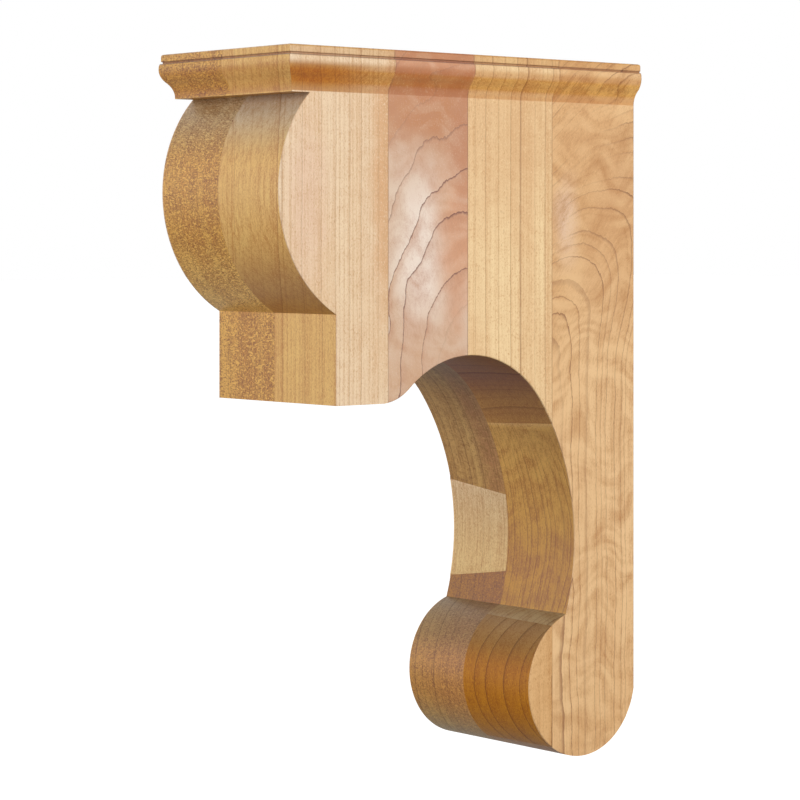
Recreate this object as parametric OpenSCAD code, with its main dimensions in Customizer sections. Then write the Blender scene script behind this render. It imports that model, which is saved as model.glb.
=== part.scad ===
// Wooden corbel bracket: a glued-up blank of upright staves in two layers, shaped with
// a big scroll at the top, a drop block, a sweeping arch and a small scroll at the foot,
// under a cap moulding that runs round the front and both sides.
// Frame: origin at the wall mount, in the middle of the flat back. +Y points into the
// wall, +Z points up, and +X points to the right-hand side seen from the front.

/* [Overall] */
// Width of the body, from side face to side face
body_w = 88.9; // [60:0.1:140]
// Height from the flat top to the bottom of the small scroll
height = 340.2; // [312:0.1:460]
// Depth from the wall to the front of the big scroll
scroll_reach = 224.3; // [222:0.1:232]
// Height of the flat top above the wall mount
mount_drop = 150; // [100:1:200]

/* [Cap moulding] */
// Height of the cap moulding
cap_h = 21; // [19:0.1:26]
// Depth from the wall to the front of the cap's lower edge
cap_reach = 217; // [212:0.1:226]
// How far the cap stands out at its widest
cap_overhang = 5.55; // [5:0.05:9]
// How far the top band stands out
band_overhang = 4.7; // [4.2:0.05:6]
// Height of the top band
band_h = 3.6; // [2:0.1:4.5]
// Height of the groove under the top band
groove_h = 0.9; // [0.5:0.1:1.5]
// Depth of the groove behind the top band
groove_d = 0.5; // [0.5:0.1:2]
// Distance of the cap's widest line below the top
bulge_drop = 7; // [6:0.1:7.4]
// Radius of the hollow under the bulge
cove_r = 10; // [9:0.1:11]
// Height of the small lip under the hollow
lip_h = 0.5; // [0.3:0.1:1.5]

/* [Big scroll and drop block] */
// Radius of the big scroll
scroll_r = 64; // [60:0.1:68]
// Distance of the big scroll's centre below the top
scroll_drop = 65.2; // [60:0.1:70]
// Depth from the wall to the front of the drop block
block_reach = 191; // [185:0.1:196]
// Distance of the drop block's underside below the top
block_drop = 162.8; // [156:0.1:170]
// Radius of the drop block's rounded back corner
nose_r = 25.2; // [15:0.1:26]
// Length of the drop block's flat underside, from front to back
block_flat = 27; // [24:0.1:32]

/* [Arch and leg] */
// Distance of the arch's top below the cap's top
arch_drop = 142; // [138:0.1:150]
// Radius of the arch
arch_r = 57; // [47:0.1:58]
// Thickness of the leg at its thinnest
leg_t = 40.8; // [34:0.1:42]

/* [Small scroll] */
// Radius of the small scroll
foot_r = 36; // [31:0.1:39]
// How much of the small scroll's round back is flattened by the wall
foot_flat = 0.6; // [0.3:0.1:2]
// Angle from the small scroll's top forward to the edge where the leg meets it
neck_angle = 17.6; // [12:0.1:24]

/* [Staves] */
// Place of the glue line between the layers at the front, to the left of the middle
layer_shift_front = 1; // [0:0.1:8]
// Place of the glue line between the layers at the wall, to the left of the middle
layer_shift_back = 4.2; // [1:0.1:8]
// Width of the right layer's back stave
right_back_w = 56.4; // [46:0.1:68]
// Width of the right layer's third stave
right_third_w = 55.1; // [46:0.1:62]
// Width of the right layer's second stave
right_second_w = 49.2; // [40:0.1:56]
// Width of the left layer's back stave
left_back_w = 43.8; // [42:0.1:68]
// Width of the left layer's third stave
left_third_w = 54.2; // [46:0.1:62]
// Width of the left layer's second stave
left_second_w = 57; // [40:0.1:60]
// How much narrower each back stave is at the glue line between the layers
joint_skew = 1.4; // [0:0.1:3]

/* [Hidden] */

// Wood tones of the staves
cream_maple = "#e6c9a4";
pink_maple = "#dbb798";
honey_maple = "#dfb67f";
gold_maple = "#dcb282";
brown_maple = "#b98d58";
amber_maple = "#c08a45";

// Length that cutting shapes run past the wood
spare = 10;

// Turn from one point of an arc to the next, in degrees
arc_step = 3;

// Outer limits of the wood, front to back and across
front_limit = max(scroll_reach, cap_reach + cap_overhang) + spare;
side_limit = body_w / 2 + cap_overhang + spare;

// Centres of the profile's round stretches, as [depth, height] with the top at 0
scroll_c = [-(scroll_reach - scroll_r), -scroll_drop];
foot_c = [-(foot_r - foot_flat), -(height - foot_r)];
nose_c = [-(block_reach - block_flat), -(block_drop - nose_r)];

// The arch touches the drop block's rounded corner, so their centres lie both radii apart
arch_c_z = -(arch_drop + arch_r);
arch_c = [nose_c.x + leg_of(nose_r + arch_r, nose_c.y - arch_c_z), arch_c_z];

// Edge where the leg runs into the small scroll
neck = foot_c + foot_r * [-sin(neck_angle), cos(neck_angle)];

// The leg's front is one long sweep of radius r. It continues the arch smoothly, is leg_t
// from the wall at its deepest and ends at the neck. Its centre lies below the arch's
// centre by sqrt(arch_k * r + arch_m) and above the neck by sqrt(neck_k * r + neck_m),
// and these two add up to the height between the arch's centre and the neck.
arch_ahead = arch_c.x + leg_t;
neck_ahead = neck.x + leg_t;
arch_k = -2 * (arch_r + arch_ahead);
arch_m = arch_r * arch_r - arch_ahead * arch_ahead;
neck_k = -2 * neck_ahead;
neck_m = -neck_ahead * neck_ahead;
ratio = neck_k / arch_k;
sweep_up = smaller_root(1 - ratio, -2 * (arch_c.y - neck.y),
                        pow(arch_c.y - neck.y, 2) + ratio * arch_m - neck_m);
sweep_r = (sweep_up * sweep_up - arch_m) / arch_k;
sweep_c = [-(leg_t + sweep_r), arch_c.y - sweep_up];

// The bulge of the cap touches the hollow below it, so their centres lie both radii apart
cove_c = [cove_r, -(cap_h - lip_h)];
bulge_h = -cove_c.y - bulge_drop;
bulge_r = (pow(cove_r - cap_overhang, 2) + pow(bulge_h, 2) - pow(cove_r, 2))
          / (2 * cap_overhang);
bulge_c = [cap_overhang - bulge_r, -bulge_drop];

// Depths of the stave joints at the side faces
right_joints = [-(right_back_w + right_third_w + right_second_w),
                -(right_back_w + right_third_w), -right_back_w, 0];
left_joints = [-(left_back_w + left_third_w + left_second_w),
               -(left_back_w + left_third_w), -left_back_w, 0];

// Height that parts the small scroll's own front pieces from the staves above the arch
split_z = sweep_c.y;

// Second leg of a right triangle
function leg_of(hypotenuse, leg) = sqrt(hypotenuse * hypotenuse - leg * leg);

// Smaller root of a*x^2 + b*x + c = 0, also where a is nearly 0
function smaller_root(a, b, c) = -2 * c / (b - sqrt(b * b - 4 * a * c));

// Direction from a to b, in degrees
function angle_to(a, b) = atan2(b.y - a.y, b.x - a.x);

// Points along an arc in even steps of about arc_step degrees, all but the last point
function arc(centre, r, from, to) =
    let (steps = ceil(abs(to - from) / arc_step))
    [for (i = [0:steps - 1]) let (a = from + (to - from) * i / steps)
        centre + r * [cos(a), sin(a)]];

// Place of the glue line between the layers at a depth y
function layer_x(y) =
    -layer_shift_back + (layer_shift_back - layer_shift_front) * -y / scroll_reach;

// Side view of the body under the cap: leg, arch, drop block, big scroll, small scroll
module profile() {
    under_cap = scroll_c.y + cap_h;
    block_z = scroll_c.y - leg_of(scroll_r, block_reach + scroll_c.x);
    block_corner = [-block_reach, -block_drop];
    polygon(concat(
        [[0, -cap_h]],
        arc(foot_c, foot_r, -acos((foot_r - foot_flat) / foot_r), neck_angle - 270),
        arc(sweep_c, sweep_r, angle_to(sweep_c, neck), angle_to(sweep_c, arch_c)),
        arc(arch_c, arch_r, angle_to(sweep_c, arch_c), angle_to(arch_c, nose_c)),
        arc(nose_c, nose_r, angle_to(nose_c, arch_c), -90),
        [[nose_c.x, -block_drop], block_corner],
        arc(scroll_c, scroll_r, angle_to(scroll_c, [-block_reach, block_z]),
            asin(under_cap / scroll_r) - 180),
        [[scroll_c.x - leg_of(scroll_r, under_cap), -cap_h]]));
}

// Section of the cap moulding from a line inside the wood, at x = inner, out to its edge
module cap_section(inner) {
    groove_z = -(band_h + groove_h);
    polygon(concat(
        [[inner, 0], [band_overhang, 0], [band_overhang, -band_h],
         [band_overhang - groove_d, -band_h], [band_overhang - groove_d, groove_z]],
        arc(bulge_c, bulge_r, asin((groove_z - bulge_c.y) / bulge_r),
            angle_to(bulge_c, cove_c)),
        arc(cove_c, cove_r, angle_to(cove_c, bulge_c), 180),
        [[0, cove_c.y], [0, -cap_h], [inner, -cap_h]]));
}

// Cap: the side sections run to the wall and meet the front section in mitres
module cap() {
    half = body_w / 2;
    intersection() {
        rotate([90, 0, 0]) linear_extrude(front_limit) {
            translate([half, 0]) cap_section(-half);
            mirror([1, 0]) translate([half, 0]) cap_section(-half);
        }
        translate([-side_limit, 0, 0]) rotate([90, 0, 90]) linear_extrude(2 * side_limit)
            mirror([1, 0]) translate([cap_reach, 0]) cap_section(-cap_reach);
    }
}

// Plan of one stave between two joints, front_y and back_y, given at the side face
module stave_plan(side, front_y, back_y) {
    inner_front_y = front_y + joint_skew;
    inner_back_y = back_y == 0 ? 0 : back_y + joint_skew;
    polygon([[side * side_limit, front_y], [side * side_limit, back_y],
             [layer_x(inner_back_y), inner_back_y],
             [layer_x(inner_front_y), inner_front_y]]);
}

// One stave of the shaped blank, between the heights low and high
module stave(side, front_y, back_y, low, high) {
    translate([0, 0, mount_drop]) {
        if (high > -cap_h) intersection() {
            cap();
            translate([0, 0, -cap_h]) linear_extrude(cap_h)
                stave_plan(side, front_y, back_y);
        }
        intersection() {
            translate([-body_w / 2, 0, 0]) rotate([90, 0, 90]) linear_extrude(body_w)
                profile();
            translate([0, 0, low]) linear_extrude(min(high, -cap_h) - low)
                stave_plan(side, front_y, back_y);
        }
    }
}

// Staves of one layer, counted from the front, that run up to the cap
module tall_stave(side, joints, i) {
    low = i == 2 ? split_z : -height - spare;
    stave(side, i == 0 ? -front_limit : joints[i - 1], joints[i], low, 0);
}

// Piece of the third stave that is left in front of the small scroll
module scroll_front(side, joints) {
    stave(side, joints[1], joints[2], -height - spare, split_z);
}

module right_front_stave() {
    color(cream_maple) tall_stave(1, right_joints, 0);
}

module right_second_stave() {
    color(pink_maple) tall_stave(1, right_joints, 1);
}

module right_third_stave() {
    color(honey_maple) tall_stave(1, right_joints, 2);
}

module right_back_stave() {
    color(gold_maple) tall_stave(1, right_joints, 3);
}

module right_scroll_front() {
    color(amber_maple) scroll_front(1, right_joints);
}

module left_front_stave() {
    color(brown_maple) tall_stave(-1, left_joints, 0);
}

module left_second_stave() {
    color(gold_maple) tall_stave(-1, left_joints, 1);
}

module left_third_stave() {
    color(brown_maple) tall_stave(-1, left_joints, 2);
}

module left_back_stave() {
    color(honey_maple) tall_stave(-1, left_joints, 3);
}

module left_scroll_front() {
    color(brown_maple) scroll_front(-1, left_joints);
}

right_front_stave();
right_second_stave();
right_third_stave();
right_back_stave();
right_scroll_front();
left_front_stave();
left_second_stave();
left_third_stave();
left_back_stave();
left_scroll_front();
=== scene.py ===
"""Looks of the wooden corbel bracket: ten maple staves glued up in two layers and shaped.

Every stave is a copy of its CAD solid with its rounds smoothed and its outer edges eased,
and each has a wood of its own. The wood is a solid pattern: growth rings round a pith line
that stands at its own place beside each stave, with fibres, ray flecks and pores laid out
along, around and across that log. Its patterns are in millimetres of the object's frame.
"""

import math
from types import SimpleNamespace

import bmesh
import bpy
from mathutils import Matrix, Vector
from mathutils.bvhtree import BVHTree


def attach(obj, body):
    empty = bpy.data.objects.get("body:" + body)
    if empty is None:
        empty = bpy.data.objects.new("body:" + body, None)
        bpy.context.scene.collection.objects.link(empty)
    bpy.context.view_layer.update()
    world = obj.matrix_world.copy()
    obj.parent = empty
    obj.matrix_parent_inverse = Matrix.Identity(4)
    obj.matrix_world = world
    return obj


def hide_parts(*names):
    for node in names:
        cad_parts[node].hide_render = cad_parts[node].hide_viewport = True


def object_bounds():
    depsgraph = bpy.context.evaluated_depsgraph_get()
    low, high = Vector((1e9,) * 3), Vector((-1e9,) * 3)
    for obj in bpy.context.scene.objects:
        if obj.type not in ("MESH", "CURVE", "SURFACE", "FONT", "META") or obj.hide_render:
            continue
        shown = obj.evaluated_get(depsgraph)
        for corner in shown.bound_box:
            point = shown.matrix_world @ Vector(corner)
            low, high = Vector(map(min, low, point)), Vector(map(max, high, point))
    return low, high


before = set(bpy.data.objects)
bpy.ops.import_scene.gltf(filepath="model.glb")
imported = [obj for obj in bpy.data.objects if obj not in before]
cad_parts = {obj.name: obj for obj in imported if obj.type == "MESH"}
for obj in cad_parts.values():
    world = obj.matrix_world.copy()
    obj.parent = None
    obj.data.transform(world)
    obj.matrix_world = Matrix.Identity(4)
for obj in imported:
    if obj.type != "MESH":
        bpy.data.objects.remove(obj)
cad_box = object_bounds()

MM = 0.001
TOP = cad_box[1][2]


# ---------------------------------------------------------------- node helpers

def fill_inputs(tree, node, inputs):
    """Fills a node's inputs, each with a value or from another node's socket."""
    for key, value in dict(inputs).items():
        if isinstance(value, bpy.types.NodeSocket):
            tree.links.new(value, node.inputs[key])
        else:
            node.inputs[key].default_value = value


def add_node(tree, kind, inputs=(), **settings):
    """A shader node with its settings and inputs."""
    node = tree.nodes.new("ShaderNode" + kind)
    for key, value in settings.items():
        setattr(node, key, value)
    fill_inputs(tree, node, inputs)
    return node


def calc(tree, operation, *values, clamp=False):
    """Result of one Math node."""
    return add_node(tree, "Math", enumerate(values), operation=operation,
                    use_clamp=clamp).outputs[0]


def product(tree, first, *others):
    """Product of two or more values."""
    for other in others:
        first = calc(tree, "MULTIPLY", first, other)
    return first


def ramp(tree, value, start, end, low=0.0, high=1.0):
    """A smooth step from low to high while value goes from start to end."""
    return add_node(tree, "MapRange", enumerate((value, start, end, low, high)),
                    interpolation_type="SMOOTHSTEP").outputs[0]


def blend(tree, factor, a, b):
    """Colour a turning into colour b with factor."""
    return add_node(tree, "Mix", {0: factor, 6: a, 7: b}, data_type="RGBA").outputs[2]


def point(tree, x, y, z):
    """A vector from three values."""
    return add_node(tree, "CombineXYZ", enumerate((x, y, z))).outputs[0]


def noise(tree, vector, scale=1.0, detail=2.0, roughness=0.5):
    """Soft noise between 0 and 1."""
    return add_node(tree, "TexNoise", {"Vector": vector, "Scale": scale, "Detail": detail,
                                       "Roughness": roughness}).outputs["Fac"]


def shared_group(name, inputs, outputs):
    """An empty node group with named sockets: (group, its inputs, its output node)."""
    group = bpy.data.node_groups.new(name, "ShaderNodeTree")
    for socket, kind, value in inputs:
        made = group.interface.new_socket(socket, in_out="INPUT", socket_type="NodeSocket" + kind)
        made.default_value = value
    for socket, kind in outputs:
        group.interface.new_socket(socket, in_out="OUTPUT", socket_type="NodeSocket" + kind)
    return (group, group.nodes.new("NodeGroupInput").outputs,
            group.nodes.new("NodeGroupOutput"))


def use_group(tree, group, inputs=()):
    """A shared group placed in a material; returns its outputs."""
    node = tree.nodes.new("ShaderNodeGroup")
    node.node_tree = group
    fill_inputs(tree, node, inputs)
    return node.outputs


def wood_colour(red, green, blue):
    """Linear colour of a wood tone given in the usual 0 to 255 steps."""
    return tuple((c / 255 / 12.92) if c < 10.4 else ((c / 255 + 0.055) / 1.055) ** 2.4
                 for c in (red, green, blue)) + (1.0,)


# ------------------------------------------------------- shared wood effects

def make_log_place():
    """Where a point lies in its log: radial from the pith, around it and along it, in mm.

    The pith stands upright below Bend Height and leans above it, so straight lines on the
    face turn into arches there. Squareness 2 gives round rings and more gives boxy arches.
    """
    group, given, result = shared_group("log place", [
        ("Pith", "Vector", (0, 0, 0)), ("Lean", "Vector", (0, 0, 0)),
        ("Bend Height", "Float", 0), ("Squareness", "Float", 2), ("Reach", "Float", 100),
        ("Wander", "Float", 2), ("Wander Size", "Float", 60), ("Jag", "Float", 0.6),
        ("Seed", "Float", 0),
    ], [("Radial", "Float"), ("Around", "Float"), ("Along", "Float"), ("Place", "Vector")])
    place = add_node(group, "TexCoord").outputs["Object"]
    place = add_node(group, "VectorMath", {0: place, "Scale": 1 / MM},
                     operation="SCALE").outputs[0]
    x, y, z = add_node(group, "SeparateXYZ", {0: place}).outputs[:3]
    size = given["Wander Size"]
    bent = add_node(group, "TexNoise", {
        "Vector": point(group, calc(group, "DIVIDE", x, size), calc(group, "DIVIDE", y, size),
                        calc(group, "ADD", calc(group, "DIVIDE", z, size), given["Seed"])),
        "Scale": 1.0, "Detail": 2.0, "Roughness": 0.45}).outputs["Color"]
    wander_x, wander_y = add_node(group, "SeparateXYZ", {0: bent}).outputs[:2]
    rise = calc(group, "SMOOTH_MAX", calc(group, "SUBTRACT", z, given["Bend Height"]), 0.0, 40.0)
    pith = add_node(group, "SeparateXYZ", {0: given["Pith"]}).outputs
    lean = add_node(group, "SeparateXYZ", {0: given["Lean"]}).outputs

    def offset(value, wander, axis):
        shift = calc(group, "MULTIPLY", calc(group, "SUBTRACT", wander, 0.5), given["Wander"])
        centre = calc(group, "MULTIPLY_ADD", lean[axis], rise, pith[axis])
        return calc(group, "SUBTRACT", calc(group, "ADD", value, shift), centre)

    across = offset(x, wander_x, 0)
    deep = offset(y, wander_y, 1)
    power = given["Squareness"]
    total = calc(group, "ADD",
                 calc(group, "POWER", calc(group, "ABSOLUTE", across), power),
                 calc(group, "POWER", calc(group, "ABSOLUTE", deep), power))
    radial = calc(group, "POWER", total, calc(group, "DIVIDE", 1.0, power))
    jag = noise(group, point(group, calc(group, "MULTIPLY", x, 0.5),
                             calc(group, "MULTIPLY", y, 0.5),
                             calc(group, "MULTIPLY", z, 0.22)), detail=2.0, roughness=0.6)
    jag = calc(group, "SUBTRACT", jag, 0.5)
    radial = calc(group, "MULTIPLY_ADD", jag, calc(group, "MULTIPLY", given["Jag"], 2.0), radial)
    around = calc(group, "MULTIPLY", calc(group, "ARCTAN2", deep, across), given["Reach"])
    for socket, value in (("Radial", radial), ("Around", around), ("Along", z), ("Place", place)):
        group.links.new(value, result.inputs[socket])
    return group


def make_growth_rings():
    """Growth rings: thin dark latewood lines of uneven strength and a tone for each ring."""
    group, given, result = shared_group("growth rings", [
        ("Radial", "Float", 0), ("Spacing", "Float", 3), ("Line Width", "Float", 0.5),
        ("Uneven", "Float", 1), ("Fade", "Float", 1.5), ("Seed", "Float", 0),
    ], [("Line", "Float"), ("Shade", "Float"), ("Tone", "Float")])
    turns = calc(group, "DIVIDE", given["Radial"], given["Spacing"])
    stretch = add_node(group, "TexNoise", {
        "W": calc(group, "MULTIPLY_ADD", turns, 0.55, given["Seed"]),
        "Scale": 1.0, "Detail": 1.0}, noise_dimensions="1D").outputs["Fac"]
    turns = calc(group, "MULTIPLY_ADD", stretch, given["Uneven"], turns)
    ring = calc(group, "FLOOR", turns)
    part = calc(group, "FRACT", turns)

    def chance(shift):
        return add_node(group, "TexWhiteNoise", {
            "W": calc(group, "ADD", ring, calc(group, "ADD", given["Seed"], shift))},
            noise_dimensions="1D").outputs["Value"]

    strength = calc(group, "POWER", chance(0.37), given["Fade"])
    width = calc(group, "DIVIDE", given["Line Width"], given["Spacing"])
    start = calc(group, "SUBTRACT", 1.0, width)
    line = calc(group, "MULTIPLY", ramp(group, part, start, 1.0), strength)
    shade = calc(group, "MULTIPLY", calc(group, "POWER", part, 3.0), strength)
    for socket, value in (("Line", line), ("Shade", shade), ("Tone", chance(3.71))):
        group.links.new(value, result.inputs[socket])
    return group


def make_fibres():
    """Fine streaks along the fibres, with short dark pore dashes among them."""
    group, given, result = shared_group("fibres", [
        ("Radial", "Float", 0), ("Around", "Float", 0), ("Along", "Float", 0),
        ("Width", "Float", 1),
    ], [("Streak", "Float"), ("Pore", "Float")])
    across = calc(group, "DIVIDE", given["Radial"], given["Width"])
    around = calc(group, "DIVIDE", given["Around"], given["Width"])

    def lengthwise(length, shift):
        along = calc(group, "DIVIDE", given["Along"], length)
        return point(group, calc(group, "ADD", across, shift), around, along)

    broad = noise(group, lengthwise(90.0, 0.0), scale=0.42, detail=2.0)
    fine = noise(group, lengthwise(34.0, 31.0), scale=1.3, detail=3.0, roughness=0.65)
    streak = calc(group, "MULTIPLY_ADD", broad, 0.45, calc(group, "MULTIPLY", fine, 0.55))
    pore = ramp(group, noise(group, lengthwise(3.4, 73.0), scale=1.5, detail=1.0), 0.66, 0.76)
    for socket, value in (("Streak", streak), ("Pore", pore)):
        group.links.new(value, result.inputs[socket])
    return group


def make_ray_flecks():
    """Ray flecks: thin ribbons from pith to bark, wide where a face runs along them."""
    group, given, result = shared_group("ray flecks", [
        ("Radial", "Float", 0), ("Around", "Float", 0), ("Along", "Float", 0),
        ("Size", "Float", 1),
    ], [("Dark", "Float"), ("Light", "Float")])
    radial = calc(group, "DIVIDE", given["Radial"], calc(group, "MULTIPLY", given["Size"], 2.6))
    around = calc(group, "DIVIDE", given["Around"], calc(group, "MULTIPLY", given["Size"], 0.7))
    along = calc(group, "DIVIDE", given["Along"], given["Size"])
    slanted = calc(group, "MULTIPLY_ADD", radial, 0.35, along)
    ribbon = noise(group, point(group, radial, around, slanted), detail=1.5, roughness=0.55)
    spindle = noise(group, point(group, calc(group, "ADD", radial, 19.0), around, along),
                    scale=0.8, detail=2.0, roughness=0.6)
    group.links.new(ramp(group, ribbon, 0.56, 0.68), result.inputs["Dark"])
    group.links.new(ramp(group, spindle, 0.52, 0.70), result.inputs["Light"])
    return group


def make_speckle():
    """Fine light and dark specks, a little longer along the fibres than across them."""
    group, given, result = shared_group("speckle", [
        ("Radial", "Float", 0), ("Around", "Float", 0), ("Along", "Float", 0),
        ("Size", "Float", 0.5),
    ], [("Dark", "Float"), ("Light", "Float")])
    size = given["Size"]
    grain = [calc(group, "DIVIDE", given["Radial"], size),
             calc(group, "DIVIDE", given["Around"], size),
             calc(group, "DIVIDE", given["Along"], calc(group, "MULTIPLY", size, 2.2))]
    for name, shift in (("Dark", 0.0), ("Light", 47.0)):
        speck = noise(group, point(group, calc(group, "ADD", grain[0], shift), *grain[1:]),
                      detail=2.0, roughness=0.6)
        group.links.new(ramp(group, speck, 0.52, 0.72), result.inputs[name])
    return group


def make_curl():
    """Curly figure: soft light and dark bands that run across the fibres in patches."""
    group, given, result = shared_group("curl", [
        ("Place", "Vector", (0, 0, 0)), ("Band", "Float", 6), ("Seed", "Float", 0),
    ], [("Curl", "Float")])
    x, y, z = add_node(group, "SeparateXYZ", {0: given["Place"]}).outputs[:3]
    seed = given["Seed"]
    sway = noise(group, point(group, calc(group, "MULTIPLY_ADD", x, 0.03, seed),
                              calc(group, "MULTIPLY", y, 0.03),
                              calc(group, "MULTIPLY", z, 0.02)), detail=1.0)
    bands = calc(group, "DIVIDE", calc(group, "MULTIPLY_ADD", sway, 55.0, z), given["Band"])
    band = noise(group, point(group, calc(group, "MULTIPLY_ADD", x, 0.06, seed),
                              calc(group, "MULTIPLY", y, 0.06), bands), detail=1.5)
    group.links.new(calc(group, "SUBTRACT", band, 0.5), result.inputs["Curl"])
    return group


def make_patch():
    """A soft-edged patch of stain or figure round a place, 1 inside it and 0 outside."""
    group, given, result = shared_group("patch", [
        ("Place", "Vector", (0, 0, 0)), ("Centre", "Vector", (0, 0, 0)),
        ("Size", "Vector", (10, 10, 10)),
    ], [("Mask", "Float")])
    away = add_node(group, "VectorMath", {0: given["Place"], 1: given["Centre"]},
                    operation="SUBTRACT").outputs[0]
    away = add_node(group, "VectorMath", {0: away, 1: given["Size"]},
                    operation="DIVIDE").outputs[0]
    distance = add_node(group, "VectorMath", {0: away}, operation="LENGTH").outputs["Value"]
    ragged = calc(group, "MULTIPLY_ADD",
                  noise(group, given["Place"], scale=0.07, detail=2.0), 0.9, distance)
    group.links.new(ramp(group, ragged, 1.9, 0.7), result.inputs["Mask"])
    return group


LOG_PLACE = make_log_place()
GROWTH_RINGS = make_growth_rings()
FIBRES = make_fibres()
RAY_FLECKS = make_ray_flecks()
SPECKLE = make_speckle()
CURL = make_curl()
PATCH = make_patch()


# ------------------------------------------------------------- wood material

# ------------------------------------------------------- finish over the wood, and painted light and shade

# Heights on the cap, and half the body's width, in mm
CAP_TOP = TOP / MM
CAP_LIP = CAP_TOP - 20.6
BULGE = CAP_TOP - 6.0
GROOVE_FOOT = CAP_TOP - 5.1
GROOVE_TOP = CAP_TOP - 3.0
BODY_SIDE = max(vertex.co.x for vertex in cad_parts["right_scroll_front"].data.vertices) / MM

# Tints that multiply the wood's colour: for scroll tops and flat tops, painted shade and painted
# reflection; for the cap band, its own tone; for the cap groove, painted shadow; and for the
# cap's hollow at the front, at the near end and at the far end of its sides, each where the
# hollow is upright and where it faces down, the second lighter as painted light against the
# hollow's shade
SCROLL_TOP_SHADE_AND_REFLECTION = (0.70, 0.85, 1.45, 1.0)
FLAT_TOP_SHADE_AND_REFLECTION = (0.72, 0.76, 0.80, 1.0)
BAND_TINT = (0.86, 0.76, 0.60, 1.0)
PAINTED_GROOVE_SHADOW = (0.50, 0.36, 0.24, 1.0)
FRONT_HOLLOW = ((0.80, 0.66, 0.45, 1.0), (1.0, 0.94, 0.90, 1.0))
NEAR_HOLLOW = ((0.60, 0.37, 0.12, 1.0), (0.79, 0.47, 0.14, 1.0))
FAR_HOLLOW = ((0.84, 0.68, 0.48, 1.0), (1.12, 1.11, 1.25, 1.0))


def read_surface(tree, place):
    """Where a point lies in mm, which way its face looks, and two masks from both.

    rim is 1 on the eased edges of the planed sides. turned is 1 on faces shaped by saw and
    cutter, and 0 on the planed sides, their rims and the back.
    """
    x, y, z = add_node(tree, "SeparateXYZ", {0: place}).outputs[:3]
    facing = add_node(tree, "TexCoord").outputs["Normal"]
    side_on, into_wall, up = add_node(tree, "SeparateXYZ", {0: facing}).outputs[:3]
    side_on = calc(tree, "ABSOLUTE", side_on)
    out = calc(tree, "ABSOLUTE", x)
    rim = product(tree, ramp(tree, out, BODY_SIDE - 0.85, BODY_SIDE - 0.45),
                  ramp(tree, z, CAP_LIP, CAP_LIP - 0.4))
    turned = product(tree, ramp(tree, side_on, 0.99, 0.88), ramp(tree, rim, 1.0, 0.0),
                     ramp(tree, up, 0.2, 0.95, 1.0, 0.45), ramp(tree, into_wall, 0.95, 0.8))
    return SimpleNamespace(x=x, y=y, z=z, side_on=side_on, into_wall=into_wall, up=up,
                           rim=rim, turned=turned)


def tint_hollow(tree, spot):
    """Tint of the cap's hollow, which takes most finish on the sides near the front; each tint is
    lighter where the hollow faces down, as painted light against its shade.
    """
    # steep is 1 where the hollow faces down; each tint is lighter there, painted light that evens
    # out the hollow's shade
    steep = ramp(tree, spot.up, -0.05, -0.65)
    front, near, far = (blend(tree, steep, *tints)
                        for tints in (FRONT_HOLLOW, NEAR_HOLLOW, FAR_HOLLOW))
    side = blend(tree, ramp(tree, spot.y, -200.0, -150.0), near, far)
    return blend(tree, ramp(tree, spot.side_on, 0.4, 0.1), side, front)


def add_finish_and_painted_light(tree, spot, colour, shaped, under, low_shade):
    """Tints the wood where it took more or less finish, and paints light and shade on it; planed
    sides stay pale.

    shaped is the stave's own tint for shaped faces; under is painted shade and painted reflection
    for faces that look down; the last tint is painted shade on shaped faces from the arch down to
    the small scroll.
    """
    z, up = spot.z, spot.up
    open_face = product(tree, ramp(tree, spot.into_wall, 0.99, 0.90), ramp(tree, up, 0.9, 0.7))
    # hollow: the cap's hollow, which takes most finish; its tint also lightens where it faces
    # down, as painted light
    hollow = product(tree, ramp(tree, z, CAP_LIP, CAP_LIP + 0.4),
                     ramp(tree, z, BULGE, BULGE - 3.5), open_face)
    # groove: the cap's groove, darkened as painted shadow
    groove = product(tree, ramp(tree, z, GROOVE_FOOT, GROOVE_FOOT + 0.7),
                     ramp(tree, z, GROOVE_TOP, GROOVE_TOP - 0.7), open_face)
    band = product(tree, ramp(tree, z, GROOVE_TOP - 0.7, GROOVE_TOP - 0.2),
                   ramp(tree, spot.side_on, 0.3, 0.7))
    off_rim = ramp(tree, spot.rim, 1.0, 0.0)
    # below: faces that look down under the cap lip, tinted with under as painted shade and
    # painted reflection
    below = product(tree, ramp(tree, up, -0.25, -0.9),
                    ramp(tree, z, CAP_LIP + 1.6, CAP_LIP - 2.4), off_rim)
    under_top = product(tree, ramp(tree, z, CAP_TOP - 1.0, CAP_TOP - 5.0), off_rim)
    # scroll_top and flat_top: faces that look up, tinted darker, greyer and cooler as painted
    # shade and painted reflection
    scroll_top = product(tree, ramp(tree, up, 0.15, 0.6), under_top)
    flat_top = product(tree, ramp(tree, up, 0.6, 1.0), under_top)
    # low: shaped faces from the arch down to the small scroll, which the last tint darkens and
    # makes more golden as painted shade
    low = product(tree, ramp(tree, z, -35.0, -105.0), ramp(tree, z, -120.0, -158.0, 1.0, 0.0),
                  spot.turned)
    for mask, tint in ((spot.turned, shaped), (scroll_top, SCROLL_TOP_SHADE_AND_REFLECTION),
                       (flat_top, FLAT_TOP_SHADE_AND_REFLECTION), (below, under),
                       (hollow, tint_hollow(tree, spot)), (band, BAND_TINT),
                       (groove, PAINTED_GROOVE_SHADOW), (low, low_shade)):
        stained = add_node(tree, "Mix", {0: 1.0, 6: colour, 7: tint},
                           data_type="RGBA", blend_type="MULTIPLY").outputs[2]
        colour = blend(tree, mask, colour, stained)
    return colour


# -------------------------------------------------------------- wood of a stave

def soft_patch(tree, place, centre, size):
    """Mask of one soft patch."""
    return use_group(tree, PATCH, {"Place": place, "Centre": centre, "Size": size})["Mask"]


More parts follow.
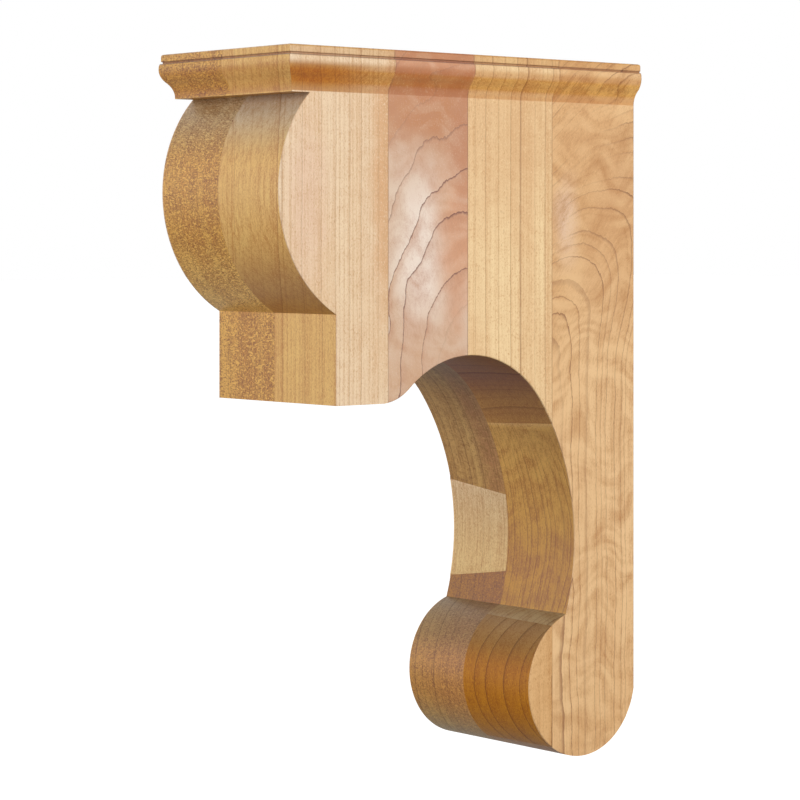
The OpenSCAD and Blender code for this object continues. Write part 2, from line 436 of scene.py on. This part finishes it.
def mix_tones(tree, spot, place, ring_shift, light, middle, patches, seed):
    """Ground colour: light and middle tones that drift along the stave, and its patches."""
    drift = noise(tree, point(tree, calc(tree, "MULTIPLY_ADD", spot.x, 0.022, seed),
                              calc(tree, "MULTIPLY", spot.y, 0.030),
                              calc(tree, "MULTIPLY", spot.z, 0.008)), detail=2.0)
    drift = ramp(tree, calc(tree, "ADD", ring_shift, drift), 0.26, 0.72)
    colour = blend(tree, drift, light, middle)
    for centre, size, stain, amount in patches:
        mask = soft_patch(tree, place, centre, size)
        colour = blend(tree, product(tree, mask, amount), colour, wood_colour(*stain))
    return colour


def draw_seams(tree, spot, colour, line_colour, seams):
    """Thin glue lines on the planed sides at the depths in seams."""
    on_side = ramp(tree, spot.turned, 0.6, 0.0, 0.0, 0.45)
    for seam in seams:
        away = calc(tree, "ABSOLUTE", calc(tree, "SUBTRACT", spot.y, seam))
        colour = blend(tree, product(tree, ramp(tree, away, 0.5, 0.1), on_side),
                       colour, line_colour)
    return colour


# Defaults of under and of the low shaped faces' tint are painted shade
def stave_wood(name, tones, pith, lean=(0, 0, 0), bend_height=0, squareness=2.0,
               wander=3.0, wander_size=60.0, rings=8.0, ring_line=0.5, ring_depth=0.6,
               ring_fade=1.5, ring_tone=0.16, fine_rings=2.6, fine_depth=0.3, streaks=0.35,
               flecks=0.15, fleck_size=1.2, specks=0.58, pores=0.25, jag=0.35, curl=0.1,
               curl_band=6.0, patches=(), calm=(), seed=1.0, shaped=(0.85, 0.67, 0.30, 1.0),
               under=(0.65, 0.54, 0.42, 1.0), low_shade=(0.65, 0.52, 0.08, 1.0), coat=0.05,
               shine=0.5, seams=()):
    """Wood of one stave, in millimetres of the object's frame.

    tones are its light, middle, dark and line colours. pith is where the middle of its log
    stands, and lean, bend_height and squareness shape the arches, as in make_log_place.
    rings and fine_rings are spacings, and each depth is how strongly its lines show.
    patches are (centre, size, colour, amount), calm is (centre, size) of places with faint
    rings, and seams are the depths of its glue lines on the side face.
    """
    material = bpy.data.materials.new(name)
    material.use_nodes = True
    tree = material.node_tree
    shader = tree.nodes["Principled BSDF"]
    light, middle, dark, line_colour = (wood_colour(*tone) for tone in tones)
    reach = math.hypot(pith[0], pith[1] + 110) + 20
    radial, around, along, place = use_group(tree, LOG_PLACE, {
        "Pith": (pith[0], pith[1], 0), "Lean": lean, "Bend Height": bend_height,
        "Squareness": squareness, "Reach": reach, "Wander": wander,
        "Wander Size": wander_size, "Jag": jag, "Seed": seed})
    where = {"Radial": radial, "Around": around, "Along": along}
    strong = use_group(tree, GROWTH_RINGS, {"Radial": radial, "Spacing": rings, "Seed": seed,
                                            "Line Width": ring_line, "Fade": ring_fade})
    fine = use_group(tree, GROWTH_RINGS, {"Radial": radial, "Spacing": fine_rings,
                                          "Line Width": fine_rings * 0.45, "Seed": seed + 9})
    fibre = use_group(tree, FIBRES, where)
    fleck = use_group(tree, RAY_FLECKS, {**where, "Size": fleck_size})
    speck = use_group(tree, SPECKLE, where)
    curly = use_group(tree, CURL, {"Place": place, "Band": curl_band, "Seed": seed})["Curl"]
    spot = read_surface(tree, place)

    ring_shift = product(tree, calc(tree, "SUBTRACT", strong["Tone"], 0.5), ring_tone)
    colour = mix_tones(tree, spot, place, ring_shift, light, middle, patches, seed)

    # fibres, fine rings, flecks and specks show more on shaped faces than on planed ones
    ring_line_mask, ring_shade = strong["Line"], strong["Shade"]
    for centre, size in calm:
        rest = ramp(tree, soft_patch(tree, place, centre, size), 0.0, 1.0, 1.0, 0.15)
        ring_line_mask = product(tree, ring_line_mask, rest)
        ring_shade = product(tree, ring_shade, rest)
    contrast = calc(tree, "MULTIPLY_ADD", spot.turned, 0.9, 1.0)
    darkening = product(tree, ramp(tree, fibre["Streak"], 0.42, 0.66), streaks)
    for effect, amount in ((fine["Line"], fine_depth), (ring_shade, ring_depth * 0.45),
                           (fleck["Dark"], flecks), (speck["Dark"], specks)):
        darkening = calc(tree, "MULTIPLY_ADD", effect, amount, darkening)
    darkening = product(tree, darkening, contrast)
    darkening = calc(tree, "MULTIPLY_ADD", curly, curl * 4, darkening, clamp=True)
    colour = blend(tree, darkening, colour, dark)
    lightening = product(tree, fleck["Light"], flecks * 0.8)
    lightening = calc(tree, "MULTIPLY_ADD", speck["Light"], specks, lightening)
    lightening = product(tree, lightening, contrast)
    lightening = calc(tree, "MULTIPLY_ADD", curly, -curl * 3, lightening, clamp=True)
    colour = blend(tree, lightening, colour, light)
    lines = product(tree, ring_line_mask, ring_depth)
    lines = calc(tree, "MULTIPLY_ADD", fibre["Pore"], pores, lines, clamp=True)
    colour = blend(tree, lines, colour, line_colour)
    colour = draw_seams(tree, spot, colour, line_colour, seams)
    colour = add_finish_and_painted_light(tree, spot, colour, shaped, under, low_shade)
    tree.links.new(colour, shader.inputs["Base Color"])

    rough = calc(tree, "MULTIPLY_ADD", fibre["Streak"], 0.16, 0.34)
    rough = calc(tree, "MULTIPLY_ADD", ring_line_mask, 0.10, rough)
    tree.links.new(rough, shader.inputs["Roughness"])
    height = product(tree, fibre["Streak"], -0.5)
    height = calc(tree, "MULTIPLY_ADD", lines, -0.6, height)
    bump = add_node(tree, "Bump", {"Height": height, "Strength": 0.25, "Distance": 0.00012})
    tree.links.new(bump.outputs[0], shader.inputs["Normal"])
    shader.inputs["IOR"].default_value = 1.5
    shader.inputs["Specular IOR Level"].default_value = shine
    shader.inputs["Coat Weight"].default_value = coat
    shader.inputs["Coat Roughness"].default_value = 0.28
    return material


# Light, middle, dark and line colours of each kind of maple in the bracket
CREAM = ((240, 215, 180), (230, 195, 152), (202, 154, 104), (152, 100, 58))
PINK = ((226, 204, 181), (211, 174, 139), (184, 128, 92), (112, 66, 50))
HONEY = ((243, 212, 160), (230, 189, 137), (204, 152, 96), (150, 98, 50))
GOLD = ((234, 192, 138), (219, 170, 113), (186, 131, 74), (128, 78, 38))
AMBER = (*GOLD[:3], (104, 56, 22))
FLECKED = ((234, 200, 156), (196, 146, 92), (142, 90, 38), (96, 54, 20))
BROWN = ((220, 174, 118), (192, 142, 86), (152, 102, 54), (104, 62, 32))

# In each stave, under tints faces that look down: darker as painted shade on most staves, and
# greyer and bluer as painted reflection on the scroll fronts and the left front stave; the tint
# for its low shaped faces is painted shade
STAVES = {
    "right_front_stave": dict(
        slot="cream_maple", tones=CREAM, pith=(-330, -620), wander=1.5, wander_size=90,
        rings=6.5, ring_line=0.5, ring_depth=0.55, fine_rings=1.9, fine_depth=0.55,
        streaks=0.45, flecks=0.22, fleck_size=0.9, seed=2.3, shaped=(0.91, 0.74, 0.33, 1.0),
        patches=(((44, -162, 95), (60, 9, 80), (214, 160, 106), 0.9),
                 ((44, -208, 80), (60, 12, 40), (232, 196, 166), 0.8),
                 ((44, -184, 40), (60, 8, 60), (238, 210, 170), 0.7))),
    "right_second_stave": dict(
        slot="pink_maple", tones=PINK, pith=(60, -93), lean=(0.55, 0, 0), bend_height=-5,
        squareness=2.8, wander=14, wander_size=34, rings=11, ring_line=0.7, ring_tone=0.5,
        ring_fade=0.7, ring_depth=1.0, fine_rings=3.6, fine_depth=0.12, streaks=0.22, flecks=0.08,
        specks=0.25, pores=0.06, jag=0.7, curl=0.26, curl_band=8, seed=5.1,
        patches=(((44, -140, 55), (60, 16, 46), (242, 224, 208), 0.95),
                 ((44, -134, 5), (60, 30, 26), (200, 150, 108), 0.7),
                 ((44, -116, 70), (60, 15, 50), (210, 146, 104), 0.85),
                 ((44, -134, 128), (60, 48, 36), (190, 127, 80), 1.0),
                 ((44, -114, 108), (60, 9, 30), (186, 120, 78), 0.7),
                 ((44, -136, 152), (70, 50, 20), (204, 140, 98), 1.0))),
    "right_third_stave": dict(
        slot="honey_maple", tones=HONEY, pith=(40, 420), wander=1.2, wander_size=120,
        rings=8.2, ring_line=0.8, ring_depth=0.85, fine_rings=2.7, fine_depth=0.35,
        flecks=0.18, fleck_size=0.8, specks=0.65, seed=3.3, under=(0.50, 0.26, 0.03, 1.0),
        patches=(((44, -83, 112), (60, 40, 34), (218, 172, 120), 0.5),)),
    "right_back_stave": dict(
        slot="gold_maple", tones=GOLD, pith=(70, -66), lean=(0.45, 0.64, 0),
        bend_height=10, squareness=2.2, wander=6, wander_size=42, rings=3.9, ring_line=0.6,
        ring_fade=0.6, ring_tone=0.25, ring_depth=0.9, fine_rings=1.7, fine_depth=0.28,
        flecks=0.14, jag=0.4, curl=0.4, curl_band=7, seed=8.2, shaped=(0.98, 0.87, 0.44, 1.0),
        patches=(((44, -12, 92), (60, 15, 24), (190, 134, 84), 0.7),
                 ((44, -22, 55), (60, 24, 42), (198, 140, 84), 0.7),
                 ((44, -47, 72), (60, 8, 22), (226, 192, 164), 0.9),
                 ((44, -30, 108), (60, 30, 22), (214, 164, 110), 0.7),
                 ((44, -30, -60), (60, 60, 120), (234, 194, 142), 0.6)),
        calm=(((44, -36, 114), (60, 28, 42)), ((44, -50, 68), (60, 10, 18)),
              ((44, -56, -22), (60, 12, 44)))),
    "right_scroll_front": dict(
        slot="amber_maple", tones=AMBER, pith=(420, -230), wander=3, rings=10,
        ring_line=0.8, ring_depth=0.9, fine_rings=3.3, fine_depth=0.2, streaks=0.25,
        flecks=0.12, pores=0.1, seed=4.4, shaped=(0.70, 0.45, 0.04, 1.0),
        under=(1.0, 1.1, 1.3, 1.0), coat=0.0, shine=0.2),
    "left_front_stave": dict(
        slot="brown_maple", tones=FLECKED, pith=(-420, -180), wander=1.5, rings=6,
        ring_depth=0.3, fine_rings=2.2, fine_depth=0.2, flecks=0.9, fleck_size=0.6,
        specks=0.7, seed=6.7, shaped=(0.93, 0.74, 0.24, 1.0), under=(1.3, 1.55, 2.5, 1.0)),
    "left_second_stave": dict(
        slot="gold_maple", tones=GOLD, pith=(-300, -400), wander=2, rings=7,
        ring_depth=0.5, fine_rings=2.4, fine_depth=0.3, seed=1.9),
    "left_third_stave": dict(
        slot="brown_maple", tones=BROWN, pith=(-330, -60), wander=2, rings=5,
        ring_line=1.0, ring_fade=0.8, ring_depth=0.6, fine_rings=2.1, fine_depth=0.4,
        flecks=0.2, specks=0.3, seed=7.5, shaped=(0.99, 1.02, 0.82, 1.0),
        under=(0.66, 0.64, 0.60, 1.0),
        patches=(((-9, -60, -30), (9, 60, 90), (178, 114, 78), 0.8),)),
    "left_back_stave": dict(
        slot="honey_maple", tones=HONEY, pith=(-380, -120), wander=1.5, rings=7,
        ring_depth=0.4, fine_rings=1.8, fine_depth=0.4, seed=9.4,
        shaped=(0.97, 1.02, 1.24, 1.0), low_shade=(0.88, 0.80, 0.50, 1.0)),
    "left_scroll_front": dict(
        slot="brown_maple", tones=BROWN, pith=(-260, -140), wander=2, rings=6,
        ring_line=1.0, ring_fade=0.8, ring_depth=0.45, fine_rings=2.0, fine_depth=0.3,
        flecks=0.8, fleck_size=0.7, specks=0.7, seed=3.9, under=(1.0, 1.35, 2.0, 1.0),
        patches=(((-42, -70, -150), (16, 80, 70), (222, 184, 122), 0.7),
                 ((-10, -70, -150), (12, 80, 70), (190, 132, 92), 0.5))),
}


# -------------------------------------------------------------------- staves

TOUCH = 0.02 * MM
# Widths of the eased edges on the cap's band and below it, and how far below the top the
# band and the groove under it reach
BAND_TOP_ROUND = 1.1 * MM
BAND_FOOT_ROUND = 0.25 * MM
BODY_EDGE_ROUND = 0.6 * MM
BAND = 3 * MM
GROOVE = 5 * MM

SURFACES = {name: BVHTree.FromPolygons([vertex.co for vertex in node.data.vertices],
                                       [face.vertices for face in node.data.polygons])
            for name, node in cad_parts.items()}


def mark_glue_faces(mesh, node):
    """Gives the faces that touch another stave the second material number."""
    others = [surface for name, surface in SURFACES.items() if name != node]
    work = bmesh.new()
    work.from_mesh(mesh)
    for face in work.faces:
        centre = face.calc_center_median()
        near = any(surface.find_nearest(centre)[3] < TOUCH for surface in others)
        face.material_index = 1 if near else 0
    work.to_mesh(mesh)
    work.free()


def ease_edges(mesh, width, wanted):
    """Bevels the open convex edges whose middle and faces are wanted."""
    work = bmesh.from_edit_mesh(mesh)
    for edge in work.edges:
        sharp = edge.is_convex and edge.calc_face_angle(0) > math.radians(20)
        bare = all(face.material_index == 0 for face in edge.link_faces)
        middle = (edge.verts[0].co + edge.verts[1].co) / 2
        edge.select_set(sharp and bare and wanted(middle))
    bmesh.update_edit_mesh(mesh)
    bpy.ops.mesh.bevel(offset=width, offset_type="OFFSET", segments=3, profile=0.5,
                       affect="EDGES", clamp_overlap=True)
    bpy.ops.mesh.select_all(action="DESELECT")


def make_stave(node):
    """A stave of solid wood over its CAD node, smooth on its rounds, with eased edges."""
    bpy.ops.object.select_all(action="DESELECT")
    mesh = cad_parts[node].data.copy()
    mesh.materials.clear()
    stave = bpy.data.objects.new(node + "_wood", mesh)
    bpy.context.scene.collection.objects.link(stave)
    mark_glue_faces(mesh, node)
    bpy.context.view_layer.objects.active = stave
    stave.select_set(True)
    bpy.ops.mesh.customdata_custom_splitnormals_clear()
    bpy.ops.object.mode_set(mode="EDIT")
    bpy.ops.mesh.select_all(action="SELECT")
    bpy.ops.mesh.remove_doubles(threshold=0.005 * MM)
    bpy.ops.mesh.dissolve_limited(angle_limit=math.radians(0.4), delimit={"MATERIAL"})
    bpy.ops.mesh.select_mode(type="EDGE")
    bpy.ops.mesh.select_all(action="DESELECT")
    ease_edges(mesh, BAND_TOP_ROUND, lambda p: p.z > TOP - TOUCH * 5)
    ease_edges(mesh, BAND_FOOT_ROUND, lambda p: TOP - GROOVE < p.z < TOP - BAND)
    ease_edges(mesh, BODY_EDGE_ROUND, lambda p: p.z < TOP - GROOVE)
    bpy.ops.object.mode_set(mode="OBJECT")
    bpy.ops.object.shade_smooth_by_angle(angle=math.radians(32))
    bpy.ops.object.modifier_add(type="WEIGHTED_NORMAL")
    stave.modifiers[-1].keep_sharp = True
    bpy.ops.object.modifier_apply(modifier=stave.modifiers[-1].name)
    mesh = stave.data
    mesh.polygons.foreach_set("material_index", [0] * len(mesh.polygons))
    return stave


def glue_lines(node):
    """Depths, in mm, of the first and last point of a stave's side face."""
    side = max(abs(vertex.co.x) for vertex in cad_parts[node].data.vertices)
    depths = [vertex.co.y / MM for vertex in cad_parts[node].data.vertices
              if abs(vertex.co.x) > side - TOUCH]
    return min(depths), max(depths)


for node, look in STAVES.items():
    settings = dict(look)
    slot = settings.pop("slot")
    stave = make_stave(node)
    if "scroll" not in node:
        settings["seams"] = glue_lines(node)
    stave.data.materials.append(stave_wood(node + "_maple", **settings))
    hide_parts(node)
    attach(stave, "root")


# -------------------------------------------------------------- studio, camera

FLOOR_DROP = 0.28
BACKDROP_WHITE = (1.0, 1.0, 1.0, 1.0)
FLOOR_PALE = (0.85, 0.85, 0.85, 1.0)
FLOOR_BOUNCE = (0.06, 0.06, 0.06, 1.0)


def seen_directly(tree, path):
    """1 where a camera, mirror or glass ray lands, so that all of them see the backdrop."""
    seen = calc(tree, "MAXIMUM", path["Is Camera Ray"], path["Is Glossy Ray"])
    return calc(tree, "MAXIMUM", seen, path["Is Transmission Ray"])


def make_floor():
    """A wide pale floor under the bracket that keeps its soft shadow."""
    bpy.ops.object.select_all(action="DESELECT")
    low = cad_box[0][2]
    bpy.ops.mesh.primitive_plane_add(size=60, location=(0, 0, low - FLOOR_DROP))
    floor = bpy.context.object
    floor.name = "studio_floor"
    bpy.ops.object.transform_apply(location=True)
    material = bpy.data.materials.new("pale_floor")
    material.use_nodes = True
    tree = material.node_tree
    shader = tree.nodes["Principled BSDF"]
    path = add_node(tree, "LightPath").outputs
    tree.links.new(blend(tree, path["Is Camera Ray"], FLOOR_BOUNCE, FLOOR_PALE),
                   shader.inputs["Base Color"])
    shader.inputs["Roughness"].default_value = 0.9
    shader.inputs["Emission Color"].default_value = BACKDROP_WHITE
    glow = calc(tree, "MULTIPLY", seen_directly(tree, path), 0.85)
    glow = calc(tree, "MULTIPLY_ADD", path["Is Glossy Ray"], -0.4, glow)
    tree.links.new(glow, shader.inputs["Emission Strength"])
    floor.data.materials.append(material)


def make_world(ambient):
    """Even light from all round, and plain white where the camera sees past the floor."""
    world = bpy.data.worlds.new("studio")
    bpy.context.scene.world = world
    world.use_nodes = True
    tree = world.node_tree
    seen = seen_directly(tree, add_node(tree, "LightPath").outputs)
    background = tree.nodes["Background"]
    background.inputs["Color"].default_value = BACKDROP_WHITE
    tree.links.new(ramp(tree, seen, 0.0, 1.0, ambient, 1.0), background.inputs["Strength"])


def make_softbox(name, direction, distance, size, power):
    """A square softbox that faces the middle of the bracket."""
    middle = (cad_box[0] + cad_box[1]) / 2
    data = bpy.data.lights.new(name, "AREA")
    data.shape = "SQUARE"
    data.size = size
    data.energy = power
    lamp = bpy.data.objects.new(name, data)
    bpy.context.scene.collection.objects.link(lamp)
    toward = Vector(direction).normalized()
    lamp.location = middle + toward * distance
    lamp.rotation_euler = toward.to_track_quat("Z", "Y").to_euler()


def make_camera():
    """Level camera to the front right, raised to the level of the big scroll."""
    azimuth = math.radians(49.444)
    distance = 1.3141
    data = bpy.data.cameras.new("camera")
    data.sensor_width = 36.0
    data.lens = 122.27
    data.shift_y = -0.198
    camera = bpy.data.objects.new("camera", data)
    bpy.context.scene.collection.objects.link(camera)
    aim = Vector((0, -0.1153, 0.0618))
    camera.location = aim + distance * Vector((math.sin(azimuth), -math.cos(azimuth), 0))
    camera.rotation_euler = (math.radians(90), 0, azimuth)
    bpy.context.scene.camera = camera


make_floor()
make_world(ambient=0.24)
make_softbox("key_softbox", direction=(1.0, 0.15, 0.22), distance=1.6, size=1.5, power=25)
make_softbox("front_softbox", direction=(-0.35, -1.0, 0.12), distance=1.8, size=1.5, power=25.5)
make_camera()
bpy.context.scene.view_settings.view_transform = "Standard"
